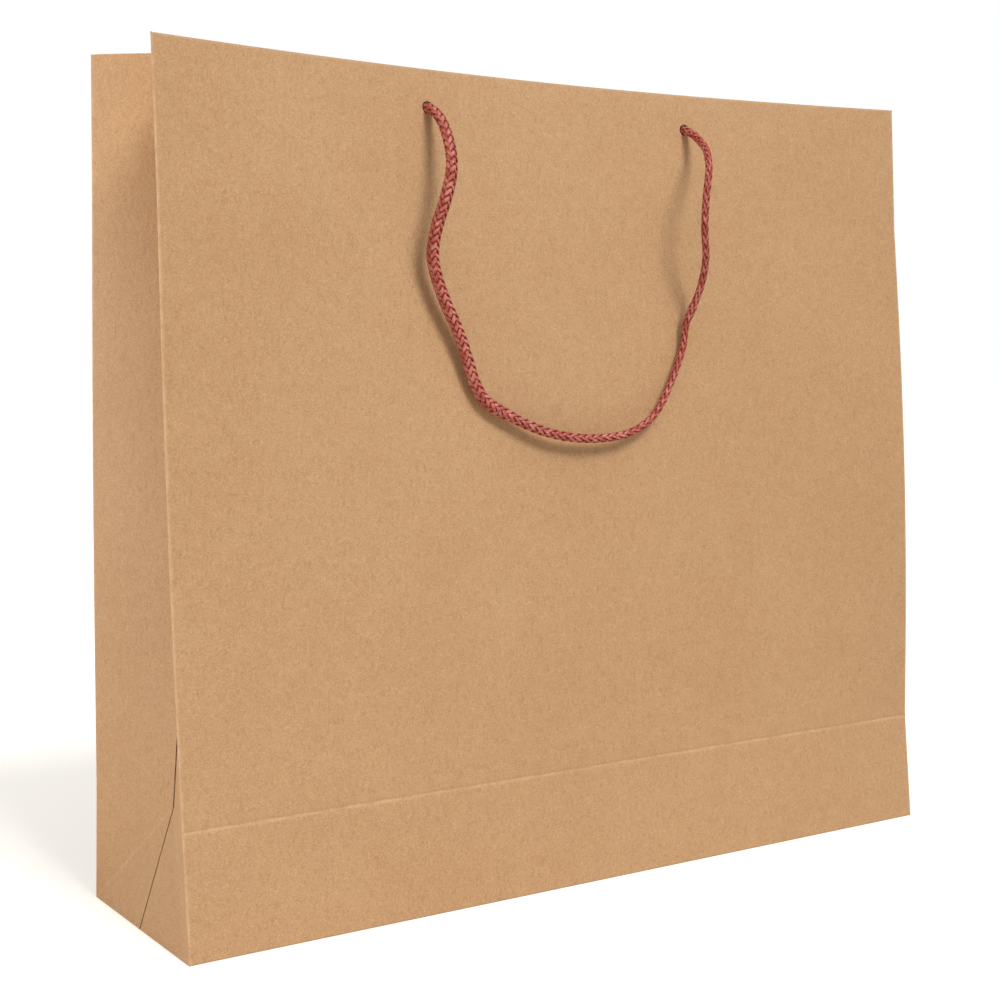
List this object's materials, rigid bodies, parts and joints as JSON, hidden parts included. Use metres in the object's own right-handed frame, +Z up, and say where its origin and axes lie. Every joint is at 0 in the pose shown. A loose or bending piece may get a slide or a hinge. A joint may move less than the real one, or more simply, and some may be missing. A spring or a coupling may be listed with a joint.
{
  "type": "paper gift bag with cord handles",
  "caption": "Large open-topped kraft paper carrier with folded gussets, a flat glued base, stiffened rim and braided cord handles knotted through punched holes.",
  "frame": {"origin": "middle of the footprint, on the surface that the bag stands on", "axes": "+X across the wide walls, -Y out of the front wall, +Z up"},
  "size_m": [0.54, 0.1533, 0.4896],
  "materials": {
    "kraft_paper": "matte natural kraft paper with fine fibre flecks, paler where it is creased",
    "greyboard": "uncoated solid greyboard",
    "braided_cord": "soft braided polypropylene cord, dusty burgundy red, low sheen"
  },
  "bodies": {
    "base": {"front_foot": "kraft_paper", "back_foot": "kraft_paper", "back_bottom_flap": "kraft_paper", "front_bottom_flap": "kraft_paper", "left_end_flap": "kraft_paper", "right_end_flap": "kraft_paper", "base_board": "greyboard", "left_front_gusset_foot": "kraft_paper", "left_front_gusset": "kraft_paper", "left_front_gusset_hem": "kraft_paper", "left_back_gusset_foot": "kraft_paper", "left_back_gusset": "kraft_paper", "left_back_gusset_hem": "kraft_paper", "left_seam_tab": "kraft_paper", "left_foot_seam_tab": "kraft_paper", "right_front_gusset_foot": "kraft_paper", "right_front_gusset": "kraft_paper", "right_front_gusset_hem": "kraft_paper", "right_back_gusset_foot": "kraft_paper", "right_back_gusset": "kraft_paper", "right_back_gusset_hem": "kraft_paper", "right_seam_tab": "kraft_paper", "right_foot_seam_tab": "kraft_paper"},
    "front_wall": {"front_panel": "kraft_paper", "front_hem": "kraft_paper", "front_rim_board": "greyboard", "front_left_cord_end": "braided_cord", "front_left_knot": "braided_cord", "front_right_cord_end": "braided_cord", "front_right_knot": "braided_cord"},
    "back_wall": {"back_panel": "kraft_paper", "back_hem": "kraft_paper", "back_rim_board": "greyboard", "back_left_cord_end": "braided_cord", "back_left_knot": "braided_cord", "back_right_cord_end": "braided_cord", "back_right_knot": "braided_cord"},
    "front_handle": {"front_handle_cord": "braided_cord"},
    "back_handle": {"back_handle_cord": "braided_cord"}
  },
  "joints": [
    {"name": "front_wall_fold", "type": "hinge", "parent": "base", "child": "front_wall", "pos_m": [0, -0.06275, 0.06965], "axis": [1, 0, 0], "range_deg": [-2.4, 3], "deforming": ["left_front_gusset", "left_front_gusset_hem", "right_front_gusset", "right_front_gusset_hem"]},
    {"name": "back_wall_fold", "type": "hinge", "parent": "base", "child": "back_wall", "pos_m": [0, 0.06525, 0.06985], "axis": [-1, 0, 0], "range_deg": [-2.4, 3], "deforming": ["left_back_gusset", "left_back_gusset_hem", "right_back_gusset", "right_back_gusset_hem", "left_seam_tab", "right_seam_tab"]},
    {"name": "front_handle_swing", "type": "hinge", "parent": "front_wall", "child": "front_handle", "pos_m": [0, -0.0372, 0.4568], "axis": [-1, 0, 0], "range_deg": [0, 150], "deforming": ["front_left_cord_end", "front_right_cord_end"]},
    {"name": "back_handle_swing", "type": "hinge", "parent": "back_wall", "child": "back_handle", "pos_m": [0, 0.0543, 0.4581], "axis": [1, 0, 0], "range_deg": [0, 150], "deforming": ["back_left_cord_end", "back_right_cord_end"]}
  ]
}
